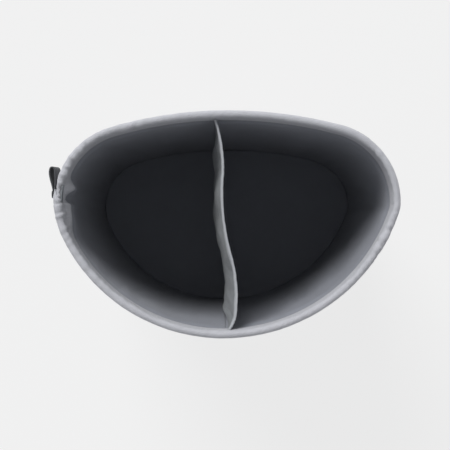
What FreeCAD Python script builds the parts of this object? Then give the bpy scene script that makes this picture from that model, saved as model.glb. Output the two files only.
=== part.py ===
"""Two-compartment laundry sorter: a soft D-shaped bag hung from a sprung rim hoop, on four casters.

Millimetres. +Z is up and +Y is the flat side (the back). The origin is on the floor, under the middle
of the whole object. The bag's own frame starts at the widest line of its mouth; a caster's own frame
starts on the floor under its king pin, with the wheel trailing towards +X.
"""
import FreeCAD, Part
import math
import os
import Sketcher
from FreeCAD import Placement, Rotation, Vector

SIZES = (
    ("half_length", 300, "mouth: half of its length"),
    ("back_depth", 159, "mouth: widest line to the middle of the back"),
    ("front_depth", 236, "mouth: widest line to the middle of the front"),
    ("back_apex", 1, "mouth: the back's deepest place, along X"),
    ("front_apex", -7, "mouth: the front's deepest place, along X"),
    ("back_right_radius", 138, "mouth: corner radii"),
    ("back_left_radius", 135, ""),
    ("front_left_radius", 138, ""),
    ("front_right_radius", 57, ""),
    ("bag_shift_x", 3, "the bag's frame from the origin"),
    ("bag_shift_y", 38.5, ""),
    ("rim_height", 620, "floor to the top of the hem"),
    ("hem_drop", 40, "hem: height"),
    ("hem_width", 16, "hem: width seen from above"),
    ("hem_cloth", 1.8, "hem: cloth thickness, folded double"),
    ("hem_slit", 2, "hem: opening where the hoop goes in"),
    ("hoop_diameter", 10, "sprung hoop"),
    ("hoop_slack", 0.3, "room over the ferrule"),
    ("ferrule_length", 44, "sleeve that joins the hoop's ends"),
    ("ferrule_wall", 1, ""),
    ("wall_top_inset", 5, "wall's outer face, inside the mouth, under the hem"),
    ("wall_base_inset", 30, "the same at the foot"),
    ("outer_cloth", 1.2, "wall layers"),
    ("stiffener_thickness", 2, ""),
    ("lining_cloth", 1, ""),
    ("layer_gap", 0.2, "slack between layers"),
    ("board_slack", 0.4, "board and floor linings to the wall lining"),
    ("edge_slack", 0.3, "divider's ends to the wall lining"),
    ("left_seam_y", 17.5, "side seams, from the widest line"),
    ("right_seam_y", -62, ""),
    ("tape_width", 14, "tape sewn over a side seam"),
    ("tape_thickness", 1, ""),
    ("caster_height", 66, "floor to the top of a caster's plate"),
    ("bottom_cloth", 1.2, "cloth under the board"),
    ("board_thickness", 8, "plywood floor board"),
    ("floor_cloth", 1, "lining of the floor"),
    ("divider_thickness", 3, "divider cloth, two layers and a foam sheet"),
    ("divider_top", 604, "floor to the top of the divider"),
    ("divider_back_x", -24, "divider: where its line starts behind the back wall"),
    ("divider_back_y", 196, ""),
    ("divider_heading", 23, "divider: first direction, from -Y towards +X, degrees"),
    ("bend_1_radius", 250, "divider: its four bends"),
    ("bend_1_turn", -27, ""),
    ("bend_2_radius", 390, ""),
    ("bend_2_turn", 20, ""),
    ("bend_3_radius", 262, ""),
    ("bend_3_turn", -23, ""),
    ("bend_4_radius", 44, ""),
    ("bend_4_turn", -50, ""),
    ("binding_wall", 1.5, "binding on the divider's top edge"),
    ("binding_drop", 12, ""),
    ("divider_slack", 0.2, "divider's faces to the floor linings"),
    ("loop_width", 25, "pull loop: webbing width, upright"),
    ("loop_webbing", 2, "pull loop: webbing thickness"),
    ("loop_middle", 599, "pull loop: floor to its middle"),
    ("loop_root_x", -297.4, "pull loop: hinge line"),
    ("loop_root_y", 61, ""),
    ("loop_root_width", 4, "pull loop: two thicknesses of webbing"),
    ("loop_lean", 1.4, "pull loop: its bend's centre from the hinge line, along X"),
    ("loop_leg", 31, "the same, along Y"),
    ("loop_radius", 7, "pull loop: outer radius of its bend"),
    ("loop_closed", 6, "pull loop: length over which its legs touch"),
    ("loop_parting", 0.6, "pull loop: between the legs where they touch"),
    ("anchor_length", 12, "tab that holds the loop's ends"),
    ("anchor_setback", 1.4, "tab's inner face, back from the loop's, to clear the hem"),
    ("anchor_gap", 3.2, "tab to hinge line, for the loop to turn"),
    ("caster_back_x", 165, "king pins"),
    ("caster_back_y", 85, ""),
    ("caster_front_x", 125, ""),
    ("caster_front_y", -75, ""),
    ("plate_side", 58, "caster plate"),
    ("plate_thickness", 2.5, ""),
    ("plate_corner", 6, ""),
    ("bolt_pitch", 44, ""),
    ("bolt_diameter", 5, ""),
    ("bolt_head_diameter", 9, ""),
    ("bolt_head_height", 3, ""),
    ("bolt_length", 11, "under the head"),
    ("bolt_hole_slack", 0.4, "hole over bolt"),
    ("bolt_socket_flats", 3, ""),
    ("bolt_socket_depth", 1.8, ""),
    ("edge_break", 1, "rounded rims of pins and bolt heads"),
    ("tee_flange_diameter", 18, "tee nuts"),
    ("tee_flange_height", 1.2, ""),
    ("tee_barrel_diameter", 7, ""),
    ("cup_outer_diameter", 44, "ball cup pressed in the plate"),
    ("cup_inner_diameter", 38, ""),
    ("cup_height", 2.6, ""),
    ("ball_diameter", 5, "swivel balls"),
    ("ball_circle_radius", 15.5, ""),
    ("ball_count", 14, ""),
    ("ball_play", 0.05, ""),
    ("race_gap", 5.3, "plate to fork"),
    ("pin_diameter", 8, "king pin"),
    ("pin_head_diameter", 14, ""),
    ("pin_head_height", 2.2, ""),
    ("pin_play", 0.05, "running gap round the king pin"),
    ("pin_head_play", 0.3, ""),
    ("fork_disc_diameter", 42, "fork"),
    ("fork_sheet", 2.5, ""),
    ("fork_gap", 26, "between the legs"),
    ("fork_neck", 30, "leg width at the top"),
    ("fork_heel", 3, "extra width behind the king pin"),
    ("fork_eye_diameter", 17, "leg's round end"),
    ("trail", 22, "king pin to axle"),
    ("wheel_diameter", 50, "wheel over the tyre"),
    ("tyre_width", 19, ""),
    ("tyre_depth", 6, ""),
    ("tyre_round", 4, ""),
    ("tyre_facet", 0.3, "share of the rounding left at its middle"),
    ("hub_rim_width", 17, "wheel core"),
    ("hub_rim_wall", 3, ""),
    ("hub_web", 6, ""),
    ("hub_boss_diameter", 15, ""),
    ("hub_boss_width", 25, ""),
    ("axle_diameter", 6, "axle bolt"),
    ("axle_head_diameter", 10, ""),
    ("axle_head_height", 3, ""),
    ("axle_nut_flats", 10, ""),
    ("axle_nut_height", 5, ""),
    ("axle_play", 0.05, "running gap round the axle"),
)

# Corner of the mouth: its radius, its side's name, and its side of X and Y, counterclockwise.
CORNERS = (
    ("back_right_radius", "back", 1, 1),
    ("back_left_radius", "back", -1, 1),
    ("front_left_radius", "front", -1, -1),
    ("front_right_radius", "front", 1, -1),
)

CASTERS = (
    ("back_left", "-sizes.caster_back_x", "sizes.caster_back_y"),
    ("back_right", "sizes.caster_back_x", "sizes.caster_back_y"),
    ("front_left", "-sizes.caster_front_x", "sizes.caster_front_y"),
    ("front_right", "sizes.caster_front_x", "sizes.caster_front_y"),
)

BAG = ("sizes.bag_shift_x", "sizes.bag_shift_y")
WALL_HEIGHT = "(sizes.rim_height - sizes.hem_drop - sizes.caster_height)"
SLOPE = "((sizes.wall_base_inset - sizes.wall_top_inset) / %s)" % WALL_HEIGHT
TAPER = "atan(%s)" % SLOPE
STIFFENER_DEPTH = "sizes.outer_cloth + sizes.layer_gap"
LINING_DEPTH = STIFFENER_DEPTH + " + sizes.stiffener_thickness + sizes.layer_gap"
INNER_DEPTH = LINING_DEPTH + " + sizes.lining_cloth"
PLATE_BOTTOM = "sizes.caster_height - sizes.plate_thickness"
FORK_TOP = PLATE_BOTTOM + " - sizes.race_gap"
BOLT_HOLE = "(sizes.bolt_diameter + sizes.bolt_hole_slack)"
FLOOR_INSET = "sizes.wall_base_inset + %s + sizes.board_slack" % INNER_DEPTH
BOARD_TOP = "sizes.caster_height + sizes.bottom_cloth + sizes.board_thickness"
FLOOR = BOARD_TOP + " + sizes.floor_cloth"
REACH = 400.0

doc = FreeCAD.newDocument("laundry_sorter")
sheet = doc.addObject("Spreadsheet::Sheet", "sizes")
parts = []


# ---------------------------------------------------------------- sizes, bodies and sketches

def fill_sheet():
    for row, (alias, number, note) in enumerate(SIZES, 1):
        sheet.set("A%d" % row, alias)
        sheet.set("B%d" % row, str(number))
        sheet.set("C%d" % row, note)
        sheet.setAlias("B%d" % row, alias)
    doc.recompute()


def value(expression):
    """The number that an expression on the sheet gives."""
    result = sheet.evalExpression(expression)
    return float(getattr(result, "Value", result))


def place(thing, x="0", y="0", z="0"):
    """Bind an object's position to the sheet."""
    for axis, expression in zip("xyz", (x, y, z)):
        thing.setExpression("Placement.Base." + axis, "(" + expression + ") * 1 mm")


def keep(thing, label):
    """List an object as a sub-part, under its own label."""
    thing.Label = label
    parts.append(thing)
    return thing


def new_body(label, x="0", y="0", z="0"):
    body = doc.addObject("PartDesign::Body", label)
    place(body, x, y, z)
    return body


def new_sketch(body, name, plane="XY_Plane", lift=None):
    """A sketch on one of the body's own origin planes, lifted off it by an expression."""
    sketch = body.newObject("Sketcher::SketchObject", name)
    support = [item for item in body.Origin.OriginFeatures if item.Role == plane][0]
    sketch.AttachmentSupport = (support, "")
    sketch.MapMode = "FlatFace"
    if lift:
        sketch.setExpression("AttachmentOffset.Base.z", "(" + lift + ") * 1 mm")
    return sketch


def bind(sketch, kind, where, expression):
    """Add a sized constraint and bind it to the sheet."""
    index = sketch.addConstraint(Sketcher.Constraint(kind, *where, value(expression)))
    sketch.setExpression("Constraints[%d]" % index, expression)


def pin_point(sketch, geometry, point, x, y):
    """Fix a point of a sketch at two expressions."""
    bind(sketch, "DistanceX", (-1, 1, geometry, point), x)
    bind(sketch, "DistanceY", (-1, 1, geometry, point), y)


def circle(sketch, x, y, radius):
    centre = Vector(value(x), value(y), 0)
    index = sketch.addGeometry(Part.Circle(centre, Vector(0, 0, 1), value(radius)))
    pin_point(sketch, index, 3, x, y)
    bind(sketch, "Radius", (index,), radius)


def polygon(sketch, corners):
    """A closed outline with straight sides, every corner bound to the sheet."""
    points = [Vector(value(x), value(y), 0) for x, y in corners]
    lines = []
    for start, end in zip(points, points[1:] + points[:1]):
        lines.append(sketch.addGeometry(Part.LineSegment(start, end)))
    for line, following in zip(lines, lines[1:] + lines[:1]):
        sketch.addConstraint(Sketcher.Constraint("Coincident", line, 2, following, 1))
    for line, (x, y) in zip(lines, corners):
        pin_point(sketch, line, 1, x, y)


def box_outline(sketch, x0, y0, x1, y1):
    polygon(sketch, ((x0, y0), (x1, y0), (x1, y1), (x0, y1)))


def pad(body, sketch, length, midplane=False, taper=None):
    feature = body.newObject("PartDesign::Pad", sketch.Name + "_pad")
    feature.Profile = sketch
    feature.setExpression("Length", length)
    feature.Midplane = midplane
    if taper:
        feature.setExpression("TaperAngle", taper)
    return feature


def pocket(body, sketch, length, midplane=False, taper=None):
    """Cut along the sketch's own +Z."""
    feature = body.newObject("PartDesign::Pocket", sketch.Name + "_pocket")
    feature.Profile = sketch
    feature.setExpression("Length", length)
    feature.Midplane = midplane
    feature.Reversed = not midplane
    if taper:
        feature.setExpression("TaperAngle", taper)
    return feature


def revolve(body, sketch, axis):
    feature = body.newObject("PartDesign::Revolution", sketch.Name + "_revolution")
    feature.Profile = sketch
    feature.ReferenceAxis = (sketch, [axis])
    feature.Angle = 360
    return feature


# ---------------------------------------------------------------- the mouth's outline

def corner_arcs(corner, inset):
    """Centre, radius, start and end of a corner's end arc and crown arc, for an inset outline."""
    radius_name, side, east, north = corner
    apex = value("sizes.%s_apex" % side)
    depth = value("sizes.%s_depth" % side)
    radius = value("sizes." + radius_name)
    reach = value("sizes.half_length") - east * apex
    crown = ((reach - radius) ** 2 + depth ** 2 - radius ** 2) / (2 * (depth - radius))
    end_centre = Vector(apex + east * (reach - radius), 0, 0)
    crown_centre = Vector(apex, north * (depth - crown), 0)
    joint = end_centre + (end_centre - crown_centre).normalize() * (radius - inset)
    tip = end_centre + Vector(east * (radius - inset), 0, 0)
    top = Vector(apex, north * (depth - inset), 0)
    return (end_centre, radius - inset, tip, joint), (crown_centre, crown - inset, joint, top)


def arc_between(centre, radius, start, end):
    first = math.atan2(start.y - centre.y, start.x - centre.x)
    last = math.atan2(end.y - centre.y, end.x - centre.x)
    return Part.ArcOfCircle(Part.Circle(centre, Vector(0, 0, 1), radius), first, last)


def mouth_outline(sketch, inset):
    """The D-shaped outline, moved in by an expression: an end arc and a crown arc at each corner."""
    ends = []
    crowns = []
    chain = []
    for place_in_ring, corner in enumerate(CORNERS):
        end, crown = corner_arcs(corner, value(inset))
        forwards = place_in_ring % 2 == 0
        pair = [(end, ends), (crown, crowns)] if forwards else [(crown, crowns), (end, ends)]
        for (centre, radius, start, stop), group in pair:
            start, stop = (start, stop) if forwards else (stop, start)
            index = sketch.addGeometry(arc_between(centre, radius, start, stop))
            group.append(index)
            chain.append(index)
    for index, following in zip(chain, chain[1:] + chain[:1]):
        same_kind = (index in ends) == (following in ends)
        kind = "Coincident" if same_kind else "Tangent"
        sketch.addConstraint(Sketcher.Constraint(kind, index, 2, following, 1))
    for (radius_name, side, east, north), end, crown in zip(CORNERS, ends, crowns):
        bind(sketch, "Radius", (end,), "sizes.%s - (%s)" % (radius_name, inset))
        sketch.addConstraint(Sketcher.Constraint("PointOnObject", end, 3, -1))
        bind(sketch, "DistanceX", (-1, 1, crown, 3), "sizes.%s_apex" % side)
    half = "(sizes.half_length - (%s))" % inset
    pin_point(sketch, chain[0], 1, half, "0")
    pin_point(sketch, chain[3], 2, "-" + half, "0")
    pin_point(sketch, chain[1], 2, "sizes.back_apex", "sizes.back_depth - (%s)" % inset)
    pin_point(sketch, chain[5], 2, "sizes.front_apex", "-(sizes.front_depth - (%s))" % inset)


def ring_sketch(body, name, inset, lift=None):
    sketch = new_sketch(body, name, lift=lift)
    mouth_outline(sketch, inset)
    return sketch


# ---------------------------------------------------------------- the bag

def wall_layer(name, depth, thickness, foot="0"):
    """One tapered layer all the way round: its outer face lies at a depth inside the wall's face.

    It starts at a foot's height over the wall's lower edge and stays parallel to the other layers.
    """
    height = "(%s - %s)" % (WALL_HEIGHT, foot)
    start = "sizes.wall_base_inset - %s * %s + %s" % (foot, SLOPE, depth)
    body = new_body(name, *BAG, "sizes.caster_height + " + foot)
    outside = ring_sketch(body, name + "_outside", start)
    pad(body, outside, height, taper=TAPER)
    inside = ring_sketch(body, name + "_inside", "%s + %s" % (start, thickness))
    pocket(body, inside, height, taper=TAPER)
    return body


def drop_side(body, name, corners):
    """Cut away the part of a wall layer that lies inside an outline seen from above."""
    sketch = new_sketch(body, name)
    polygon(sketch, corners)
    pocket(body, sketch, WALL_HEIGHT)


def front_or_back_layer(label, side, depth, thickness, foot="0"):
    """A layer cut along the line that joins the two side seams, carried on past the bag."""
    body = wall_layer(label, depth, thickness, foot)
    run_on = "(sizes.left_seam_y - sizes.right_seam_y) / 2"
    far = str(-REACH if side == "back" else REACH)
    corners = (
        ("-2 * sizes.half_length", "sizes.left_seam_y + " + run_on),
        ("2 * sizes.half_length", "sizes.right_seam_y - " + run_on),
        ("2 * sizes.half_length", far),
        ("-2 * sizes.half_length", far),
    )
    drop_side(body, label + "_other_side", corners)
    return keep(body, label)


def left_or_right_lining(label, side):
    """A compartment's wall lining: it ends where the divider's line meets the wall."""
    body = wall_layer(label, LINING_DEPTH, "sizes.lining_cloth", "sizes.bottom_cloth")
    sketch = new_sketch(body, label + "_other_side")
    beyond_divider(sketch, side, "0")
    pocket(body, sketch, WALL_HEIGHT)
    return keep(body, label)


def seam_tape(label, side):
    """A tape over a side seam: the piece of an outer layer that lies in a narrow window."""
    layer = wall_layer(label + "_layer", "(-sizes.tape_thickness)", "sizes.tape_thickness")
    window = doc.addObject("Part::Box", label + "_window")
    window.setExpression("Length", "sizes.half_length * 1 mm")
    window.setExpression("Width", "sizes.tape_width * 1 mm")
    window.setExpression("Height", "(%s) * 1 mm" % WALL_HEIGHT)
    x = "sizes.bag_shift_x" if side == "right" else "sizes.bag_shift_x - sizes.half_length"
    y = "sizes.bag_shift_y + sizes.%s_seam_y - sizes.tape_width / 2" % side
    place(window, x, y, "sizes.caster_height")
    tape = doc.addObject("Part::Common", label)
    tape.Base = layer
    tape.Tool = window
    return keep(tape, label)


def swept_round_mouth(body, name, draw_section, lift="0", kind="Additive"):
    """Sweep a section, drawn across the middle of the front, along the middle of the hem."""
    spine = ring_sketch(body, name + "_line", "sizes.hem_width / 2", lift=lift)
    section = new_sketch(body, name + "_section", "YZ_Plane", lift="sizes.front_apex")
    draw_section(section)
    sweep = body.newObject("PartDesign::%sPipe" % kind, name + "_sweep")
    sweep.Profile = section
    sweep.Spine = spine
    return sweep


def hem_section(sketch):
    """The hem cut across: straight sides and a round top."""
    middle = value("sizes.hem_width / 2 - sizes.front_depth")
    half = value("sizes.hem_width / 2")
    shoulder = value("sizes.hem_drop - sizes.hem_width / 2")
    low_out, low_in = Vector(middle - half, 0, 0), Vector(middle + half, 0, 0)
    high_out, high_in = Vector(middle - half, shoulder, 0), Vector(middle + half, shoulder, 0)
    bottom = sketch.addGeometry(Part.LineSegment(low_out, low_in))
    inner = sketch.addGeometry(Part.LineSegment(low_in, high_in))
    crown = sketch.addGeometry(arc_between(Vector(middle, shoulder, 0), half, high_in, high_out))
    outer = sketch.addGeometry(Part.LineSegment(high_out, low_out))
    sketch.addConstraint(Sketcher.Constraint("Coincident", bottom, 2, inner, 1))
    sketch.addConstraint(Sketcher.Constraint("Tangent", inner, 2, crown, 1))
    sketch.addConstraint(Sketcher.Constraint("Tangent", crown, 2, outer, 1))
    sketch.addConstraint(Sketcher.Constraint("Coincident", outer, 2, bottom, 1))
    sketch.addConstraint(Sketcher.Constraint("Horizontal", bottom))
    pin_point(sketch, bottom, 1, "-sizes.front_depth", "0")
    pin_point(sketch, crown, 3, "sizes.hem_width / 2 - sizes.front_depth",
              "sizes.hem_drop - sizes.hem_width / 2")


def hollow_section(sketch):
    """The room inside the hem, for the hoop."""
    box_outline(
        sketch,
        "sizes.hem_cloth - sizes.front_depth",
        "sizes.hem_cloth",
        "sizes.hem_width - sizes.hem_cloth - sizes.front_depth",
        "sizes.hem_drop - sizes.hem_width / 2",
    )


def rim_hem():
    """The cloth tube round the mouth: rounded on top, hollow for the hoop, open at the left seam."""
    body = new_body("rim_hem", *BAG, "sizes.rim_height - sizes.hem_drop")
    swept_round_mouth(body, "hem", hem_section)
    swept_round_mouth(body, "hem_hollow", hollow_section, kind="Subtractive")
    doc.recompute()
    slit = new_sketch(body, "hoop_slit")
    edge = "sizes.left_seam_y - sizes.hem_slit / 2"
    inner = "-(sizes.half_length - 2 * sizes.hem_width)"
    box_outline(slit, str(-REACH), edge, inner, edge + " + sizes.hem_slit")
    pocket(body, slit, "sizes.hem_drop")
    return keep(body, "rim_hem")


def hoop_height():
    """The hoop's middle: it lies under the hem's round top, with room for the ferrule."""
    return ("sizes.rim_height - sizes.hem_width / 2 - sizes.hoop_diameter / 2"
            " - sizes.ferrule_wall - sizes.hoop_slack")


def rim_hoop():
    body = new_body("rim_hoop", *BAG, hoop_height())

    def round_section(sketch):
        circle(sketch, "sizes.hem_width / 2 - sizes.front_depth", "0", "sizes.hoop_diameter / 2")

    swept_round_mouth(body, "hoop", round_section)
    return keep(body, "rim_hoop")


def hoop_ferrule():
    """A sleeve bent with the hoop: a ring sector round the back left corner's centre."""
    centre_x = "-(sizes.half_length - sizes.back_left_radius) + sizes.bag_shift_x"
    body = new_body("hoop_ferrule", centre_x, "sizes.bag_shift_y", hoop_height())
    section = new_sketch(body, "ferrule_section", "XZ_Plane")
    turn_radius = "-(sizes.back_left_radius - sizes.hem_width / 2)"
    circle(section, turn_radius, "0", "sizes.hoop_diameter / 2 + sizes.ferrule_wall")
    circle(section, turn_radius, "0", "sizes.hoop_diameter / 2")
    sleeve = body.newObject("PartDesign::Revolution", "ferrule_sleeve")
    sleeve.Profile = section
    sleeve.ReferenceAxis = (section, ["V_Axis"])
    bend = "sizes.back_left_radius - sizes.hem_width / 2"
    sleeve.setExpression("Angle", "sizes.ferrule_length / (%s) * 180 / pi * 1 deg" % bend)
    sleeve.Reversed = True
    return keep(body, "hoop_ferrule")


def slab(label, inset, z, thickness):
    """A flat layer with the bag's outline."""
    body = new_body(label, *BAG, z)
    pad(body, ring_sketch(body, label + "_outline", inset), thickness)
    return body


def bolt_places():
    """The sixteen bolt centres, as expressions in the bag's frame."""
    for _, x, y in CASTERS:
        for east in ("-", "+"):
            for north in ("-", "+"):
                offset = " sizes.bolt_pitch / 2"
                yield (x + " - sizes.bag_shift_x " + east + offset,
                       y + " - sizes.bag_shift_y " + north + offset)


def drill(body, name, diameter, depth, lift=None):
    sketch = new_sketch(body, name, lift=lift)
    for x, y in bolt_places():
        circle(sketch, x, y, diameter + " / 2")
    pocket(body, sketch, depth)


def bottom_cover():
    body = slab("bottom_cover", "sizes.wall_base_inset + sizes.outer_cloth", "sizes.caster_height",
                "sizes.bottom_cloth")
    drill(body, "cover_holes", BOLT_HOLE, "sizes.bottom_cloth")
    return keep(body, "bottom_cover")


def base_board():
    body = slab("base_board", FLOOR_INSET, "sizes.caster_height + sizes.bottom_cloth",
                "sizes.board_thickness")
    drill(body, "board_holes", "sizes.tee_barrel_diameter", "sizes.board_thickness")
    drill(body, "board_recesses", "sizes.tee_flange_diameter", "sizes.tee_flange_height",
          "sizes.board_thickness - sizes.tee_flange_height")
    return keep(body, "base_board")


def floor_lining(label, side):
    """A compartment's floor lining: it ends at the divider's face."""
    body = slab(label, FLOOR_INSET, BOARD_TOP, "sizes.floor_cloth")
    sketch = new_sketch(body, label + "_other_side")
    beyond_divider(sketch, side, "(sizes.divider_thickness / 2 + sizes.divider_slack)")
    pocket(body, sketch, "sizes.floor_cloth")
    return keep(body, label)


# ---------------------------------------------------------------- the divider

def divider_bends():
    """Centre, radius, start angle and turn of each bend along the divider's line, in degrees."""
    point = Vector(value("sizes.divider_back_x - sizes.bag_shift_x"),
                   value("sizes.divider_back_y - sizes.bag_shift_y"), 0)
    heading = value("sizes.divider_heading") - 90
    for number in (1, 2, 3, 4):
        radius = value("sizes.bend_%d_radius" % number)
        turn = value("sizes.bend_%d_turn" % number)
        side = math.copysign(1, turn)
        to_centre = math.radians(heading + 90 * side)
        centre = point + Vector(math.cos(to_centre), math.sin(to_centre), 0) * radius
        start = heading - 90 * side
        yield centre, radius, start, turn
        heading += turn
        last = math.radians(heading - 90 * side)
        point = centre + Vector(math.cos(last), math.sin(last), 0) * radius


def divider_face(sketch, side, distance):
    """Arcs along one face of the divider, from back to front.

    The face is the left compartment's for side 1 and the right compartment's for side -1.
    Returns each arc's number, the end where it is entered, the end where it is left, and the arc.
    """
    face = []
    for number, (centre, radius, start, turn) in enumerate(divider_bends(), 1):
        outwards = side * math.copysign(1, turn)
        ring = Part.Circle(centre, Vector(0, 0, 1), radius + outwards * value(distance))
        first, last = sorted((start, start + turn))
        arc = Part.ArcOfCircle(ring, math.radians(first), math.radians(last))
        index = sketch.addGeometry(arc)
        sign = "+" if outwards > 0 else "-"
        bind(sketch, "Radius", (index,), "sizes.bend_%d_radius %s %s" % (number, sign, distance))
        entry, leaving = (1, 2) if turn > 0 else (2, 1)
        face.append((index, entry, leaving, arc))
    for one, two in zip(face, face[1:]):
        sketch.addConstraint(Sketcher.Constraint("Coincident", one[0], one[2], two[0], two[1]))
    return face


def face_end(arc_record, at_start):
    """Number, end and point of a face's first or last place."""
    index, entry, leaving, arc = arc_record
    end = entry if at_start else leaving
    return index, end, arc.StartPoint if end == 1 else arc.EndPoint


def join_ends(sketch, one, two, corners=()):
    """Straight lines from one face end to another, round some corners."""
    points = [one[2], *corners, two[2]]
    lines = [sketch.addGeometry(Part.LineSegment(a, b)) for a, b in zip(points, points[1:])]
    for line, following in zip(lines, lines[1:]):
        sketch.addConstraint(Sketcher.Constraint("Coincident", line, 2, following, 1))
    sketch.addConstraint(Sketcher.Constraint("Coincident", lines[0], 1, one[0], one[1]))
    sketch.addConstraint(Sketcher.Constraint("Coincident", lines[-1], 2, two[0], two[1]))


def divider_outline(sketch, half_thickness):
    """Both faces of the divider seen from above: arcs about the same centres, closed at the ends."""
    left = divider_face(sketch, 1, half_thickness)
    right = divider_face(sketch, -1, half_thickness)
    for place_in_line, at_start in ((0, True), (-1, False)):
        one = face_end(left[place_in_line], at_start)
        two = face_end(right[place_in_line], at_start)
        join_ends(sketch, one, two)


def beyond_divider(sketch, side, distance):
    """Everything on the far side of the divider, as seen from one compartment."""
    hand = 1 if side == "left" else -1
    face = divider_face(sketch, hand, distance)
    corners = (Vector(hand * REACH, -REACH, 0), Vector(hand * REACH, REACH, 0))
    join_ends(sketch, face_end(face[-1], False), face_end(face[0], True), corners)


def inner_space(name, play):
    """The room inside the lining and the hem, less some play all round."""
    body = new_body(name, *BAG, "sizes.caster_height")
    inset = "sizes.wall_base_inset + %s + %s" % (INNER_DEPTH, play)
    pad(body, ring_sketch(body, name + "_foot", inset), WALL_HEIGHT, taper=TAPER)
    neck = ring_sketch(body, name + "_neck", "sizes.hem_width + " + play, lift=WALL_HEIGHT)
    pad(body, neck, "sizes.hem_drop")
    return body


def common(label, base, tool):
    thing = doc.addObject("Part::Common", label)
    thing.Base = base
    thing.Tool = tool
    return keep(thing, label)


def divider():
    sheet_body = new_body("divider_sheet", *BAG, FLOOR)
    outline = new_sketch(sheet_body, "divider_line")
    divider_outline(outline, "sizes.divider_thickness / 2")
    pad(sheet_body, outline, "sizes.divider_top - sizes.binding_wall - (%s)" % FLOOR)
    common("divider_panel", sheet_body, inner_space("room_for_panel", "sizes.edge_slack"))

    strip = new_body("binding_strip", *BAG, "sizes.divider_top - sizes.binding_drop")
    outer = new_sketch(strip, "binding_outer")
    divider_outline(outer, "(sizes.divider_thickness / 2 + sizes.binding_wall)")
    pad(strip, outer, "sizes.binding_drop")
    inner = new_sketch(strip, "binding_inner")
    divider_outline(inner, "(sizes.divider_thickness / 2)")
    pocket(strip, inner, "sizes.binding_drop - sizes.binding_wall")
    common("divider_binding", strip, inner_space("room_for_binding", "sizes.edge_slack"))


# ---------------------------------------------------------------- the pull loop

def pull_loop():
    """Webbing folded into a narrow loop, standing on edge: two legs and a round bend."""
    z = "sizes.loop_middle - sizes.loop_width / 2"
    body = new_body("pull_loop", "sizes.loop_root_x", "sizes.loop_root_y", z)
    outside = new_sketch(body, "loop_outside")
    teardrop(outside, "sizes.loop_root_width / 2", "0", "sizes.loop_radius")
    pad(body, outside, "sizes.loop_width")
    inside = new_sketch(body, "loop_inside")
    teardrop(inside, "sizes.loop_parting / 2", "sizes.loop_closed", "sizes.loop_radius - sizes.loop_webbing")
    pocket(body, inside, "sizes.loop_width")
    return keep(body, "pull_loop")


def teardrop(sketch, half_foot, low, radius):
    """A short foot, two legs that spread from it and a bend tangent to both."""
    size = value(radius)
    centre = Vector(value("sizes.loop_lean"), value("sizes.loop_leg"), 0)
    left = Vector(-value(half_foot), value(low), 0)
    right = Vector(value(half_foot), value(low), 0)
    right_touch = tangent_point(centre, size, right, -1)
    left_touch = tangent_point(centre, size, left, 1)
    foot = sketch.addGeometry(Part.LineSegment(left, right))
    east = sketch.addGeometry(Part.LineSegment(right, right_touch))
    bend = sketch.addGeometry(arc_between(centre, size, right_touch, left_touch))
    west = sketch.addGeometry(Part.LineSegment(left_touch, left))
    sketch.addConstraint(Sketcher.Constraint("Coincident", foot, 2, east, 1))
    sketch.addConstraint(Sketcher.Constraint("Tangent", east, 2, bend, 1))
    sketch.addConstraint(Sketcher.Constraint("Tangent", bend, 2, west, 1))
    sketch.addConstraint(Sketcher.Constraint("Coincident", west, 2, foot, 1))
    pin_point(sketch, foot, 1, "-(%s)" % half_foot, low)
    pin_point(sketch, foot, 2, half_foot, low)
    pin_point(sketch, bend, 3, "sizes.loop_lean", "sizes.loop_leg")
    bind(sketch, "Radius", (bend,), radius)


def loop_anchor():
    """The tab that holds the loop's two ends against the hem."""
    z = "sizes.loop_middle - sizes.loop_width / 2"
    y = "sizes.loop_root_y - sizes.anchor_gap - sizes.anchor_length"
    body = new_body("loop_anchor", "sizes.loop_root_x", y, z)
    outline = new_sketch(body, "anchor_outline")
    half = "sizes.loop_root_width / 2"
    box_outline(outline, "-" + half, "0", half + " - sizes.anchor_setback", "sizes.anchor_length")
    pad(body, outline, "sizes.loop_width")
    return keep(body, "loop_anchor")


# ---------------------------------------------------------------- fasteners

def turned(label, x, y, z, profile):
    """A round part about its own Z axis, from radius and height pairs."""
    body = new_body(label, x, y, z)
    sketch = new_sketch(body, label + "_profile", "XZ_Plane")
    polygon(sketch, profile)
    revolve(body, sketch, "V_Axis")
    return body


def group_at_bolts(label, solid, z):
    """The same solid at every bolt centre, as one sub-part of separate solids."""
    copies = []
    for x, y in bolt_places():
        copy = solid.copy()
        copy.translate(Vector(value(x), value(y), 0))
        copies.append(copy)
    thing = doc.addObject("Part::Feature", label)
    thing.Shape = Part.makeCompound(copies)
    place(thing, *BAG, z)
    return keep(thing, label)


def caster_bolts():
    bolt = value("sizes.bolt_diameter") / 2
    head = Part.makeCylinder(value("sizes.bolt_head_diameter") / 2, value("sizes.bolt_head_height"))
    head.translate(Vector(0, 0, -value("sizes.bolt_head_height")))
    shank = Part.makeCylinder(bolt, value("sizes.bolt_length"))
    socket = hexagon_prism(value("sizes.bolt_socket_flats") / 2, value("sizes.bolt_socket_depth"))
    socket.translate(Vector(0, 0, -value("sizes.bolt_head_height")))
    group_at_bolts("caster_bolts", head.fuse(shank).cut(socket).removeSplitter(), PLATE_BOTTOM)


def tee_nuts():
    flange_radius = value("sizes.tee_flange_diameter") / 2
    flange = Part.makeCylinder(flange_radius, value("sizes.tee_flange_height"))
    depth = value("sizes.board_thickness - sizes.tee_flange_height")
    barrel = Part.makeCylinder(value("sizes.tee_barrel_diameter") / 2, depth, Vector(0, 0, -depth))
    through = depth + value("sizes.tee_flange_height")
    bore = Part.makeCylinder(value("sizes.bolt_diameter") / 2, through, Vector(0, 0, -depth))
    nut = flange.fuse(barrel).cut(bore).removeSplitter()
    group_at_bolts("tee_nuts", nut, BOARD_TOP + " - sizes.tee_flange_height")


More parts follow.
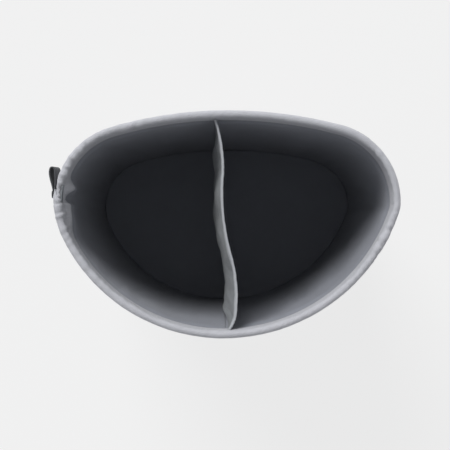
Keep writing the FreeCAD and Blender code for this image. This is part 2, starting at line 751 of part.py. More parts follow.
def hexagon_prism(half_flats, height):
    corner = half_flats / math.cos(math.radians(30))
    points = []
    for number in range(7):
        angle = math.radians(60 * number)
        points.append(Vector(corner * math.cos(angle), corner * math.sin(angle), 0))
    return Part.Face(Part.makePolygon(points)).extrude(Vector(0, 0, height))


# ---------------------------------------------------------------- the casters

def caster_plate(corner, x, y):
    label = "caster_plate_" + corner
    body = new_body(label, x, y, PLATE_BOTTOM)
    outline = new_sketch(body, label + "_outline")
    half = "sizes.plate_side / 2"
    box_outline(outline, "-" + half, "-" + half, half, half)
    blank = pad(body, outline, "sizes.plate_thickness")
    doc.recompute()
    upright = [
        "Edge%d" % number
        for number, edge in enumerate(blank.Shape.Edges, 1)
        if abs(edge.Vertexes[0].X - edge.Vertexes[-1].X) < 1e-6
        and abs(edge.Vertexes[0].Y - edge.Vertexes[-1].Y) < 1e-6
    ]
    rounding = body.newObject("PartDesign::Fillet", label + "_corners")
    rounding.Base = (blank, upright)
    rounding.setExpression("Radius", "sizes.plate_corner")
    cup = new_sketch(body, label + "_cup", lift="-sizes.cup_height")
    circle(cup, "0", "0", "sizes.cup_outer_diameter / 2")
    circle(cup, "0", "0", "sizes.cup_inner_diameter / 2")
    pad(body, cup, "sizes.cup_height")
    holes = new_sketch(body, label + "_holes")
    circle(holes, "0", "0", "sizes.pin_diameter / 2")
    for east in ("-", ""):
        for north in ("-", ""):
            circle(holes, east + "sizes.bolt_pitch / 2", north + "sizes.bolt_pitch / 2",
                   BOLT_HOLE + " / 2")
    pocket(body, holes, "sizes.plate_thickness")
    keep(body, label)


def king_pin(corner, x, y):
    fork_bottom = FORK_TOP + " - sizes.fork_sheet"
    z = fork_bottom + " - sizes.pin_head_play - sizes.pin_head_height"
    top = "sizes.caster_height - (%s)" % z
    profile = (
        ("0", "0"),
        ("sizes.pin_head_diameter / 2 - sizes.edge_break", "0"),
        ("sizes.pin_head_diameter / 2", "sizes.edge_break"),
        ("sizes.pin_head_diameter / 2", "sizes.pin_head_height"),
        ("sizes.pin_diameter / 2", "sizes.pin_head_height"),
        ("sizes.pin_diameter / 2", top),
        ("0", top),
    )
    keep(turned("king_pin_" + corner, x, y, z, profile), "king_pin_" + corner)


def swivel_balls(corner, x, y):
    radius = value("sizes.ball_diameter") / 2
    circle_radius = value("sizes.ball_circle_radius")
    count = int(value("sizes.ball_count"))
    balls = []
    for number in range(count):
        angle = math.radians(360 * number / count)
        centre = Vector(circle_radius * math.cos(angle), circle_radius * math.sin(angle), 0)
        balls.append(Part.makeSphere(radius, centre))
    thing = doc.addObject("Part::Feature", "swivel_balls_" + corner)
    thing.Shape = Part.makeCompound(balls)
    place(thing, x, y, FORK_TOP + " + sizes.ball_diameter / 2 + sizes.ball_play")
    keep(thing, "swivel_balls_" + corner)


def fork_side(sketch):
    """A leg seen from the side: a straight top edge and a round eye about the axle."""
    eye = Vector(value("sizes.trail"), value("sizes.wheel_diameter / 2"), 0)
    radius = value("sizes.fork_eye_diameter / 2")
    top = value(FORK_TOP)
    half_neck = value("sizes.fork_neck") / 2
    front_top = Vector(-half_neck, top, 0)
    back_top = Vector(half_neck + value("sizes.fork_heel"), top, 0)
    front_touch = tangent_point(eye, radius, front_top, -1)
    back_touch = tangent_point(eye, radius, back_top, 1)
    line_a = sketch.addGeometry(Part.LineSegment(back_top, front_top))
    line_b = sketch.addGeometry(Part.LineSegment(front_top, front_touch))
    bend = sketch.addGeometry(arc_between(eye, radius, front_touch, back_touch))
    line_c = sketch.addGeometry(Part.LineSegment(back_touch, back_top))
    sketch.addConstraint(Sketcher.Constraint("Coincident", line_a, 2, line_b, 1))
    sketch.addConstraint(Sketcher.Constraint("Tangent", line_b, 2, bend, 1))
    sketch.addConstraint(Sketcher.Constraint("Tangent", bend, 2, line_c, 1))
    sketch.addConstraint(Sketcher.Constraint("Coincident", line_c, 2, line_a, 1))
    pin_point(sketch, line_a, 1, "sizes.fork_neck / 2 + sizes.fork_heel", FORK_TOP)
    pin_point(sketch, line_a, 2, "-sizes.fork_neck / 2", FORK_TOP)
    pin_point(sketch, bend, 3, "sizes.trail", "sizes.wheel_diameter / 2")
    bind(sketch, "Radius", (bend,), "sizes.fork_eye_diameter / 2")


def tangent_point(centre, radius, outside, side):
    """Where the line from an outside point touches a circle, on the asked side."""
    away = outside - centre
    base = math.atan2(away.y, away.x)
    swing = math.acos(radius / away.Length)
    angle = base - side * swing
    return centre + Vector(math.cos(angle), math.sin(angle), 0) * radius


def fork(corner, x, y):
    label = "caster_fork_" + corner
    body = new_body(label, x, y)
    legs = new_sketch(body, label + "_legs", "XZ_Plane")
    fork_side(legs)
    pad(body, legs, "sizes.fork_gap + 2 * sizes.fork_sheet", midplane=True)
    gap = new_sketch(body, label + "_gap", "XZ_Plane")
    box_outline(gap, "-sizes.plate_side", "0", "sizes.plate_side", FORK_TOP + " - sizes.fork_sheet")
    pocket(body, gap, "sizes.fork_gap", midplane=True)
    disc = new_sketch(body, label + "_disc", lift=FORK_TOP + " - sizes.fork_sheet")
    circle(disc, "0", "0", "sizes.fork_disc_diameter / 2")
    pad(body, disc, "sizes.fork_sheet")
    hole = new_sketch(body, label + "_hole", lift=FORK_TOP + " - sizes.fork_sheet")
    circle(hole, "0", "0", "sizes.pin_diameter / 2 + sizes.pin_play")
    pocket(body, hole, "sizes.fork_sheet")
    eyes = new_sketch(body, label + "_eyes", "XZ_Plane")
    circle(eyes, "sizes.trail", "sizes.wheel_diameter / 2", "sizes.axle_diameter / 2")
    pocket(body, eyes, "2 * sizes.plate_side", midplane=True)
    keep(body, label)


def on_axle(label, x, y, profile):
    """A round part about the axle: profile is distance along the axle and radius."""
    body = new_body(label, x + " + sizes.trail", y, "sizes.wheel_diameter / 2")
    sketch = new_sketch(body, label + "_profile", "YZ_Plane")
    polygon(sketch, profile)
    revolve(body, sketch, "H_Axis")
    return body


def axle(corner, x, y):
    side = "(sizes.fork_gap / 2 + sizes.fork_sheet)"
    shank = "sizes.axle_diameter / 2"
    head = "sizes.axle_head_diameter / 2"
    profile = (
        ("-%s - sizes.axle_head_height" % side, "0"),
        ("-%s - sizes.axle_head_height" % side, head + " - sizes.edge_break"),
        ("-%s - sizes.axle_head_height + sizes.edge_break" % side, head),
        ("-" + side, head),
        ("-" + side, shank),
        ("%s + sizes.axle_nut_height + sizes.edge_break" % side, shank),
        ("%s + sizes.axle_nut_height + sizes.edge_break" % side, "0"),
    )
    keep(on_axle("axle_bolt_" + corner, x, y, profile), "axle_bolt_" + corner)


def axle_nut(corner, x, y):
    label = "axle_nut_" + corner
    start = "sizes.fork_gap / 2 + sizes.fork_sheet"
    body = new_body(label, x + " + sizes.trail", y + " + " + start, "sizes.wheel_diameter / 2")
    sketch = new_sketch(body, label + "_section", "XZ_Plane")
    corners = []
    for number in range(6):
        angle = 60 * number
        radius = "sizes.axle_nut_flats / 2 / cos(30 deg)"
        corners.append(("%s * cos(%d deg)" % (radius, angle), "%s * sin(%d deg)" % (radius, angle)))
    polygon(sketch, corners)
    circle(sketch, "0", "0", "sizes.axle_diameter / 2")
    nut = pad(body, sketch, "sizes.axle_nut_height")
    nut.Reversed = True
    keep(body, label)


def wheel_core(corner, x, y):
    bore = "sizes.axle_diameter / 2 + sizes.axle_play"
    boss = "sizes.hub_boss_diameter / 2"
    seat = "sizes.wheel_diameter / 2 - sizes.tyre_depth"
    rim_inner = seat + " - sizes.hub_rim_wall"
    half = []
    for width, radius in (
        ("sizes.hub_boss_width / 2", bore),
        ("sizes.hub_boss_width / 2", boss),
        ("sizes.hub_web / 2", boss),
        ("sizes.hub_web / 2", rim_inner),
        ("sizes.hub_rim_width / 2", rim_inner),
        ("sizes.hub_rim_width / 2", seat),
    ):
        half.append((width, radius))
    profile = half + [("-" + width, radius) for width, radius in reversed(half)]
    keep(on_axle("wheel_core_" + corner, x, y, profile), "wheel_core_" + corner)


def tyre(corner, x, y):
    seat = "sizes.wheel_diameter / 2 - sizes.tyre_depth"
    tread = "sizes.wheel_diameter / 2"
    edge = "sizes.tyre_width / 2"
    cut = "sizes.tyre_round"
    slight = "sizes.tyre_round * sizes.tyre_facet"
    profile = (
        ("-" + edge, seat),
        (edge, seat),
        (edge, "%s - %s" % (tread, cut)),
        ("%s - %s" % (edge, slight), "%s - %s" % (tread, slight)),
        ("%s - %s" % (edge, cut), tread),
        ("-(%s - %s)" % (edge, cut), tread),
        ("-(%s - %s)" % (edge, slight), "%s - %s" % (tread, slight)),
        ("-" + edge, "%s - %s" % (tread, cut)),
    )
    keep(on_axle("tyre_" + corner, x, y, profile), "tyre_" + corner)


# ---------------------------------------------------------------- the whole sorter

def build_bag():
    rim_hem()
    rim_hoop()
    hoop_ferrule()
    for side in ("front", "back"):
        front_or_back_layer("outer_%s_panel" % side, side, "0", "sizes.outer_cloth")
        front_or_back_layer("%s_stiffener" % side, side, STIFFENER_DEPTH,
                            "sizes.stiffener_thickness", "sizes.bottom_cloth")
    for side in ("left", "right"):
        left_or_right_lining("%s_lining" % side, side)
        seam_tape("%s_seam_tape" % side, side)
        floor_lining("%s_floor_lining" % side, side)
    bottom_cover()
    base_board()
    divider()
    pull_loop()
    loop_anchor()


def build_casters():
    caster_bolts()
    tee_nuts()
    for corner, x, y in CASTERS:
        for make in (caster_plate, king_pin, swivel_balls, fork, axle, axle_nut, wheel_core, tyre):
            make(corner, x, y)


def check():
    """Stop before anything is written if an object failed or a sub-part is not a good solid."""
    doc.recompute()
    for thing in doc.Objects:
        if "Invalid" in thing.State or "Error" in thing.State:
            raise RuntimeError("failed: " + thing.Label)
    for part in parts:
        shape = part.Shape
        if shape.isNull() or not shape.isValid() or not shape.Solids:
            raise RuntimeError("bad shape: " + part.Label)


def write():
    os.makedirs("parts", exist_ok=True)
    for part in parts:
        part.Shape.exportStep(os.path.join("parts", part.Label + ".step"))


fill_sheet()
build_bag()
build_casters()
check()
write()
for part in parts:
    print("%-28s %2d solids %12.0f mm3" % (part.Label, len(part.Shape.Solids), part.Shape.Volume))
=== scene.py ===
"""Laundry sorter on wheels: its cloth, seams, materials, light and camera over the shared frame."""

import math

import bmesh
import bpy
from bpy.props import FloatProperty, FloatVectorProperty, PointerProperty
from mathutils import Matrix, Vector, noise


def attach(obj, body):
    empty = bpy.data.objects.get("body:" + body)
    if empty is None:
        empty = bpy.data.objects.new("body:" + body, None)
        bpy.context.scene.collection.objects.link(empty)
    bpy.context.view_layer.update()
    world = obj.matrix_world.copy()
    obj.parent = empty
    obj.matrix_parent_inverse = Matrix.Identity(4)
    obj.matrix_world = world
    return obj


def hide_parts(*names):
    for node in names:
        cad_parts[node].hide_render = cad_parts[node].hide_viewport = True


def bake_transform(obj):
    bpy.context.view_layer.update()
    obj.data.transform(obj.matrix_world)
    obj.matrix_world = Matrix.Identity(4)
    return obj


bl_info = {
    "name": "Laundry Sorter",
    "version": (1, 0, 0),
    "blender": (4, 5, 0),
    "location": "3D View > Sidebar > Sorter",
    "description": "Builds the soft goods of a laundry sorter over its hard parts",
    "category": "Add Mesh",
}

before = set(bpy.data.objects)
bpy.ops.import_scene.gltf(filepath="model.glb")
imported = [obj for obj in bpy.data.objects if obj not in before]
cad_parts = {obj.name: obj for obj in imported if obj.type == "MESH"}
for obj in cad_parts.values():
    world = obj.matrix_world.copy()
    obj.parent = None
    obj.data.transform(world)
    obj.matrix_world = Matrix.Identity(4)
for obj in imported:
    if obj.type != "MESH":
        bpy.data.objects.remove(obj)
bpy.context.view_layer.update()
MM = 0.001
UP = Vector((0, 0, 1))


# ---------------------------------------------------------------- settings

def linear(code):
    """Linear colour of an sRGB hex code."""
    channels = [int(code[i:i + 2], 16) / 255 for i in (0, 2, 4)]
    return [c / 12.92 if c <= 0.04045 else ((c + 0.055) / 1.055) ** 2.4 for c in channels]


def length(name, millimetres, description):
    """A length that a user can change, given in millimetres and kept in metres."""
    return FloatProperty(name=name, description=description, default=millimetres * MM,
                         precision=5, unit="LENGTH", subtype="DISTANCE")


def turn(name, degrees, description):
    """An angle that a user can change, given in degrees."""
    return FloatProperty(name=name, description=description, default=math.radians(degrees),
                         unit="ROTATION", subtype="ANGLE")


def colour(name, code, description):
    """A colour that a user can change, given as an sRGB hex code."""
    return FloatVectorProperty(name=name, description=description, default=linear(code),
                               size=3, min=0, max=1, subtype="COLOR")


class SorterSizes(bpy.types.PropertyGroup):
    """Sizes of the cloth parts; the mouth, wall and divider lines repeat the frame's."""
    half_length: length("Half length", 300, "Mouth: half of its length")
    back_depth: length("Back depth", 159, "Mouth: widest line to the middle of the back")
    front_depth: length("Front depth", 236, "Mouth: widest line to the middle of the front")
    back_apex: length("Back apex", 1, "Mouth: the back's deepest place")
    front_apex: length("Front apex", -7, "Mouth: the front's deepest place")
    back_right_radius: length("Back right radius", 138, "Mouth: corner")
    back_left_radius: length("Back left radius", 135, "Mouth: corner")
    front_left_radius: length("Front left radius", 138, "Mouth: corner")
    front_right_radius: length("Front right radius", 57, "Mouth: corner")
    shift_x: length("Shift along X", 3, "Mouth's middle from the origin")
    shift_y: length("Shift along Y", 38.5, "Mouth's widest line from the origin")
    left_seam_y: length("Left seam", 17.5, "Left side seam, from the widest line")
    right_seam_y: length("Right seam", -62, "Right side seam, from the widest line")
    rim_height: length("Rim height", 620, "Floor to the top of the hem")
    hem_foot: length("Hem foot", 577, "Floor to the hem's two edges")
    hem_width: length("Hem width", 13.2, "Hem: width of its round top")
    hem_middle: length("Hem middle", 7, "Middle of the hem's top, inside the mouth's outline")
    lining_puff: length("Lining puff", 4.2, "How far the lining stands off the wall at its top")
    hem_thickness: length("Hem thickness", 1.2, "Hem: cloth folded double")
    wall_top: length("Wall top", 580, "Floor to the top of the walls")
    wall_foot: length("Wall foot", 66, "Floor to the foot of the walls")
    top_inset: length("Top inset", 5, "Outer cloth inside the mouth's outline at the wall's top")
    foot_inset: length("Foot inset", 30, "The same at the foot")
    wall_depth: length("Wall depth", 4.6, "Outer cloth's face to the lining's face")
    outer_thickness: length("Outer cloth", 1.2, "Outer cloth's thickness")
    lining_thickness: length("Lining", 1.0, "Lining's thickness")
    floor_top: length("Floor top", 76.2, "Floor to the top of the floor lining")
    divider_thickness: length("Divider thickness", 2.2, "Two layers of cloth and a foam sheet")
    divider_top: length("Divider top", 604, "Floor to the top of the divider")
    divider_x: length("Divider start X", -24, "Divider's line starts behind the back wall")
    divider_y: length("Divider start Y", 196, "Divider's line starts behind the back wall")
    divider_heading: turn("Divider heading", 23, "First direction, from -Y towards +X")
    divider_bulge: length("Divider bulge", 19, "How far the divider leans to the left below its top")
    binding_wall: length("Binding wall", 0.9, "Binding on the divider's top edge")
    binding_drop: length("Binding drop", 12, "Binding's height")
    tape_width: length("Tape width", 14, "Tape over a side seam")
    stitch_pitch: length("Stitch pitch", 4, "Topstitching")
    stitch_length: length("Stitch length", 3, "Topstitching")
    thread: length("Thread", 0.6, "Sewing thread's diameter")
    loop_root_x: length("Loop root X", -297.4, "Pull loop's hinge line")
    loop_root_y: length("Loop root Y", 61, "Pull loop's hinge line")
    loop_middle: length("Loop middle", 599, "Floor to the pull loop's middle")
    loop_width: length("Loop width", 25, "Pull loop's webbing")
    loop_webbing: length("Loop webbing", 1.8, "Pull loop's thickness")


class SorterColours(bpy.types.PropertyGroup):
    """Colours of the materials."""
    hem: colour("Hem", "C4C5CB", "Light grey canvas of the hem")
    canvas: colour("Canvas", "BEBFC5", "Light grey canvas of the outside")
    # The lining's grey is partly its own grey and partly painted shade: it is darker than the real cloth,
    # for the bag's deep inside
    lining: colour("Lining", "8C8F98", "Grey coated lining")
    divider: colour("Divider", "7B7F82", "Grey cloth of the divider")
    binding: colour("Binding", "B2B5B9", "Binding of the divider")
    webbing: colour("Webbing", "4A4C50", "Dark grey webbing")
    thread: colour("Thread", "A2A3A8", "Sewing thread")
    stiffener: colour("Stiffener", "D8D9DA", "Plastic sheet in the walls")
    hoop: colour("Hoop", "3A3B3D", "Coated spring hoop")
    zinc: colour("Zinc", "C3C8CC", "Plated steel of the casters, bolts and ferrule")
    ball: colour("Ball", "B5B8BB", "Swivel balls")
    nylon: colour("Nylon", "4B4D51", "Wheel cores")
    rubber: colour("Rubber", "77797C", "Tyres")
    plywood: colour("Plywood", "C9AE86", "Floor board")
    floor: colour("Floor", "5E5E5E", "Studio floor")


def sizes():
    """The scene's sizes."""
    return bpy.context.scene.sorter_sizes


def colours():
    """The scene's colours."""
    return bpy.context.scene.sorter_colours


# ---------------------------------------------------------------- the mouth and the divider's line

class Mouth:
    """The mouth seen from above: eight arcs, counterclockwise from its right end."""

    def __init__(self):
        s = sizes()
        self.shift = Vector((s.shift_x, s.shift_y))
        self.arcs = []
        for side, east, first in (("back", 1, 0), ("back", -1, 90), ("front", -1, 180), ("front", 1, 270)):
            self.arcs += quarter(s, side, east, math.radians(first), math.radians(first + 90))
        self.total = sum(arc[1] * (arc[3] - arc[2]) for arc in self.arcs)
        self.start = 0
        crossings = self.seams(s)
        self.start = crossings[0]
        self.right_seam = (crossings[1] - crossings[0]) % self.total

    def seams(self, s):
        """Distances where the line between the two side seams crosses the mouth, left first."""
        one = Vector((-s.half_length, s.left_seam_y)) + self.shift
        along = Vector((s.half_length, s.right_seam_y)) + self.shift - one
        found = []
        steps = 4000
        before = None
        for k in range(steps + 1):
            distance = self.total * k / steps
            side = along.cross(self.at(distance)[0].xy - one)
            if before is not None and (side > 0) != (before > 0):
                found.append(distance)
            before = side
        return found

    def at(self, distance, inset=0.0):
        """Point on the line at an inset, and the direction out of the mouth."""
        left = (self.start + distance) % self.total
        for centre, radius, first, last in self.arcs:
            if left <= radius * (last - first):
                break
            left -= radius * (last - first)
        angle = first + left / radius
        out = Vector((math.cos(angle), math.sin(angle), 0))
        return centre.to_3d() + out * (radius - inset), out

    def line_y(self, x, inset, side):
        """Where the back's or front's line at an inset crosses a line of constant x."""
        up = 1 if side == "back" else -1
        best = None
        for centre, radius, first, last in self.arcs:
            across = x - centre.x
            if abs(across) > radius - inset:
                continue
            rise = math.sqrt((radius - inset) ** 2 - across ** 2)
            angle = math.atan2(up * rise, across) % (2 * math.pi)
            if first - 1e-6 <= angle <= last + 1e-6:
                best = centre.y + up * rise
        return best

    def distance_of(self, x, side):
        """Distance along the mouth of the back's or front's point at x."""
        steps = 2000
        wanted = [k for k in range(steps)
                  if (self.at(self.total * k / steps)[0].y > self.shift.y) == (side == "back")]
        best = min(wanted, key=lambda k: abs(self.at(self.total * k / steps)[0].x - x))
        return self.total * best / steps


def quarter(s, side, east, first, last):
    """A corner arc and the flat arc beside it, counterclockwise: centre, radius, first and last angle."""
    up = 1 if side == "back" else -1
    apex = getattr(s, side + "_apex")
    depth = getattr(s, side + "_depth")
    radius = getattr(s, "%s_%s_radius" % (side, "right" if east > 0 else "left"))
    reach = s.half_length - east * apex
    wide = ((reach - radius) ** 2 + depth ** 2 - radius ** 2) / (2 * (depth - radius))
    shift = Vector((s.shift_x, s.shift_y))
    corner = Vector((apex + east * (reach - radius), 0)) + shift
    flat = Vector((apex, up * (depth - wide))) + shift
    join = math.atan2(corner.y - flat.y, corner.x - flat.x) % (2 * math.pi)
    order = ((corner, radius), (flat, wide)) if east * up > 0 else ((flat, wide), (corner, radius))
    return (*order[0], first, join), (*order[1], join, last)


def wall_inset(z):
    """The outer cloth's face inside the mouth's outline, at a height."""
    s = sizes()
    rise = (z - s.wall_foot) / (s.wall_top - s.wall_foot)
    return s.foot_inset + (s.top_inset - s.foot_inset) * min(max(rise, 0), 1)


# Arcs of the divider's line from the back: radius in millimetres, and bend in degrees
BENDS = ((250, -27), (390, 20), (262, -23), (44, -50))


class DividerLine:
    """The divider seen from above, from behind the back wall to before the front wall."""

    def __init__(self):
        s = sizes()
        self.points = []
        point = Vector((s.divider_x, s.divider_y, 0))
        heading = s.divider_heading - math.pi / 2
        for radius, degrees in BENDS:
            radius = radius * MM
            bend = math.radians(degrees)
            side = math.copysign(1, bend)
            towards = heading + side * math.pi / 2
            centre = point + radius * Vector((math.cos(towards), math.sin(towards), 0))
            steps = 120
            for k in range(steps):
                angle = towards + math.pi + bend * k / steps
                here = centre + radius * Vector((math.cos(angle), math.sin(angle), 0))
                facing = heading + bend * k / steps
                self.points.append((here, Vector((math.sin(facing), -math.cos(facing), 0))))
            angle = towards + math.pi + bend
            point = centre + radius * Vector((math.cos(angle), math.sin(angle), 0))
            heading += bend
        self.last = len(self.points) - 1

    def at(self, place):
        """Point and left-hand direction at a place from 0 to 1."""
        spot = min(max(place, 0), 1) * self.last
        low = min(int(spot), self.last - 1)
        share = spot - low
        one, two = self.points[low], self.points[low + 1]
        return one[0].lerp(two[0], share), one[1].lerp(two[1], share).normalized()

    def room(self, mouth, inset):
        """First and last place that lie inside the mouth's line at an inset."""
        inside = []
        for k in range(self.last + 1):
            point = self.points[k][0]
            back = mouth.line_y(point.x, inset, "back")
            front = mouth.line_y(point.x, inset, "front")
            if front <= point.y <= back:
                inside.append(k)
        return inside[0] / self.last, inside[-1] / self.last


LINES = {}


def draw_lines():
    """Works both lines out from the sizes as they are now."""
    LINES["mouth"] = Mouth()
    LINES["divider"] = DividerLine()


def mouth():
    """The mouth's line, as last worked out."""
    return LINES["mouth"]


def line():
    """The divider's line, as last worked out."""
    return LINES["divider"]


# ---------------------------------------------------------------- building pieces

def smooth(low, high, value):
    """0 below low, 1 above high and smooth between."""
    share = min(max((value - low) / (high - low), 0), 1)
    return share * share * (3 - 2 * share)


def hill(value, middle, width):
    """1 at the middle, falling to nothing over about twice the width on both sides."""
    return math.exp(-((value - middle) / width) ** 2)


def ripple(across, along, size, seed=0.0):
    """Soft noise from -1 to 1 that varies over a size along the cloth and slowly up it."""
    return noise.noise(Vector((across / size, along / (4 * size), seed)))


def fold(across, along, size, seed):
    """The same noise, from 0 to 1, for cloth that can only stand off one way."""
    return 0.5 + 0.5 * ripple(across, along, size, seed)


def finish_mesh(mesh, name, material, body="bag"):
    """Turns a bmesh into a smooth, seated piece with its material."""
    data = bpy.data.meshes.new(name)
    mesh.to_mesh(data)
    mesh.free()
    for polygon in data.polygons:
        polygon.use_smooth = True
    data.materials.append(material)
    piece = bpy.data.objects.new(name, data)
    bpy.context.scene.collection.objects.link(piece)
    if body:
        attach(piece, body)
    return piece


def cloth_grid(name, cells, spot, spread, thickness, material, offset=-1.0, body="bag", joined=False):
    """Cloth laid over spot(u, v), with u and v from 0 to 1; spread is its UV size in metres."""
    mesh = bmesh.new()
    mesh.loops.layers.uv.new("UVMap")
    bmesh.ops.create_grid(mesh, x_segments=cells[0], y_segments=cells[1], size=0.5)
    uv = mesh.loops.layers.uv.active
    for face in mesh.faces:
        for corner in face.loops:
            flat = corner.vert.co
            corner[uv].uv = ((flat.x + 0.5) * spread[0], (flat.y + 0.5) * spread[1])
    for vertex in mesh.verts:
        vertex.co = spot(vertex.co.x + 0.5, vertex.co.y + 0.5)
    if joined:
        bmesh.ops.remove_doubles(mesh, verts=mesh.verts, dist=1e-6)
    piece = finish_mesh(mesh, name, material, body)
    layer = piece.modifiers.new("Thickness", "SOLIDIFY")
    layer.thickness = thickness
    layer.offset = offset
    return piece


def stitches(name, rows):
    """Topstitching: short rounded stitches from rows of point, direction along, direction out."""
    s = sizes()
    mesh = bmesh.new()
    for row in rows:
        for point, along, out in row:
            across = out.cross(along).normalized()
            frame = Matrix((along.normalized(), across, out.normalized())).transposed().to_4x4()
            shape = Matrix.Diagonal((s.stitch_length / 2, s.thread / 2, s.thread / 2, 1))
            bmesh.ops.create_icosphere(mesh, subdivisions=1, radius=1,
                                       matrix=Matrix.Translation(point) @ frame @ shape)
    return finish_mesh(mesh, name, MATERIALS["thread"])


def stitch_row(curve, first, last, pitch):
    """Stitches along curve(distance), which gives a point and the direction out of the cloth."""
    count = max(2, int((last - first) / pitch))
    row = []
    for k in range(count):
        distance = first + (k + 0.5) * (last - first) / count
        point, out = curve(distance)
        along = curve(distance + 0.2 * pitch)[0] - curve(distance - 0.2 * pitch)[0]
        row.append((point, along, out))
    return row


# ---------------------------------------------------------------- materials

MATERIALS = {}


def add_node(tree, kind, inputs=(), **settings):
    """Adds a node, sets it, and sets or links its inputs."""
    node = tree.nodes.new(kind)
    for name, value in settings.items():
        setattr(node, name, value)
    for name, value in dict(inputs).items():
        socket = node.inputs[name]
        if isinstance(value, bpy.types.NodeSocket):
            tree.links.new(value, socket)
        else:
            socket.default_value = value
    return node


def new_material(key, name):
    """Starts a material and keeps it under a short key."""
    material = bpy.data.materials.new(name)
    material.use_nodes = True
    material.node_tree.nodes.clear()
    MATERIALS[key] = material
    return material.node_tree


def tone(tree, base, factor, amount):
    """A colour made lighter and darker by a factor from 0 to 1."""
    change = add_node(tree, "ShaderNodeMapRange",
                      {"Value": factor, "To Min": 1 - amount, "To Max": 1 + amount})
    mixed = add_node(tree, "ShaderNodeVectorMath",
                     {0: base, "Scale": change.outputs[0]}, operation="SCALE")
    return mixed.outputs[0]


def stretched_noise(tree, where, across, along, detail=2.0):
    """Noise stretched to a real size in both directions of the cloth."""
    scaled = add_node(tree, "ShaderNodeVectorMath", {0: where, 1: (1 / across, 1 / along, 1)},
                      operation="MULTIPLY").outputs[0]
    return add_node(tree, "ShaderNodeTexNoise",
                    {"Vector": scaled, "Scale": 1.0, "Detail": detail}).outputs["Fac"]


def woven(key, name, base, pitch, relief, slub, roughness):
    """Plain weave on the cloth's own UV in metres, with thick threads and mottling."""
    tree = new_material(key, name)
    where = add_node(tree, "ShaderNodeTexCoord").outputs["UV"]
    parts = add_node(tree, "ShaderNodeSeparateXYZ", {0: where})
    waves = []
    for axis in ("X", "Y"):
        phase = add_node(tree, "ShaderNodeMath",
                         {0: parts.outputs[axis], 1: math.pi / pitch}, operation="MULTIPLY")
        wave = add_node(tree, "ShaderNodeMath", {0: phase.outputs[0]}, operation="SINE")
        waves.append(wave.outputs[0])
    weave = add_node(tree, "ShaderNodeMath", {0: waves[0], 1: waves[1]}, operation="MULTIPLY").outputs[0]
    # Slubs are drawn thicker than real ones, so that they show
    thickness, reach = pitch * 2.4, pitch * 34
    slubs = add_node(tree, "ShaderNodeMath",
                     {0: stretched_noise(tree, where, thickness, reach),
                      1: stretched_noise(tree, where, reach, thickness)}, operation="ADD")
    half = add_node(tree, "ShaderNodeMath", {0: slubs.outputs[0], 1: 0.5}, operation="MULTIPLY")
    threads = half.outputs[0]
    # Mottling from handling and light dye, about 50 mm across
    mottle = stretched_noise(tree, where, 50 * MM, 50 * MM, 3.0)
    crests = add_node(tree, "ShaderNodeMath", {0: weave}, operation="ABSOLUTE").outputs[0]
    shade = tone(tree, (*base,), threads, slub)
    shade = tone(tree, shade, mottle, 0.05)
    shade = tone(tree, shade, crests, 0.06)
    height = add_node(tree, "ShaderNodeMath", {0: weave, 1: 0.5, 2: threads}, operation="MULTIPLY_ADD")
    bump = add_node(tree, "ShaderNodeBump",
                    {"Height": height.outputs[0], "Distance": relief, "Strength": 0.8})
    cloth = add_node(tree, "ShaderNodeBsdfPrincipled",
                     {"Base Color": shade, "Roughness": roughness, "Normal": bump.outputs[0],
                      "Sheen Weight": 0.15, "Sheen Roughness": 0.6})
    add_node(tree, "ShaderNodeOutputMaterial", {"Surface": cloth.outputs["BSDF"]})


def plain(key, name, base, metallic, roughness, grain, relief):
    """Metal, plastic or rubber with fine grain and faint handling marks, on object coordinates."""
    tree = new_material(key, name)
    where = add_node(tree, "ShaderNodeTexCoord").outputs["Object"]
    fine = add_node(tree, "ShaderNodeTexNoise", {"Vector": where, "Scale": 1 / grain, "Detail": 3.0})
    # Handling marks: 60 to a metre, so about 17 mm across
    broad = add_node(tree, "ShaderNodeTexNoise", {"Vector": where, "Scale": 60.0, "Detail": 2.0})
    rough = add_node(tree, "ShaderNodeMapRange",
                     {"Value": broad.outputs["Fac"], "To Min": roughness - 0.08,
                      "To Max": roughness + 0.12})
    bump = add_node(tree, "ShaderNodeBump",
                    {"Height": fine.outputs["Fac"], "Distance": relief, "Strength": 0.6})
    solid = add_node(tree, "ShaderNodeBsdfPrincipled",
                     {"Base Color": tone(tree, (*base,), fine.outputs["Fac"], 0.08),
                      "Metallic": metallic, "Roughness": rough.outputs[0], "Normal": bump.outputs[0]})
    add_node(tree, "ShaderNodeOutputMaterial", {"Surface": solid.outputs["BSDF"]})


def plywood():
    """Birch plywood: pale brown, with grain 3 mm wide and 120 mm long along the board."""
    tree = new_material("plywood", "birch_plywood")
    where = add_node(tree, "ShaderNodeTexCoord").outputs["Object"]
    grain = stretched_noise(tree, where, 120 * MM, 3 * MM, 4.0)
    shade = tone(tree, (*colours().plywood,), grain, 0.25)
    bump = add_node(tree, "ShaderNodeBump", {"Height": grain, "Distance": 0.1 * MM, "Strength": 0.5})
    wood = add_node(tree, "ShaderNodeBsdfPrincipled",
                    {"Base Color": shade, "Roughness": 0.6, "Normal": bump.outputs[0]})
    add_node(tree, "ShaderNodeOutputMaterial", {"Surface": wood.outputs["BSDF"]})


# ---------------------------------------------------------------- operators

class SorterStep:
    """What every step shares."""
    bl_options = {"REGISTER", "UNDO"}


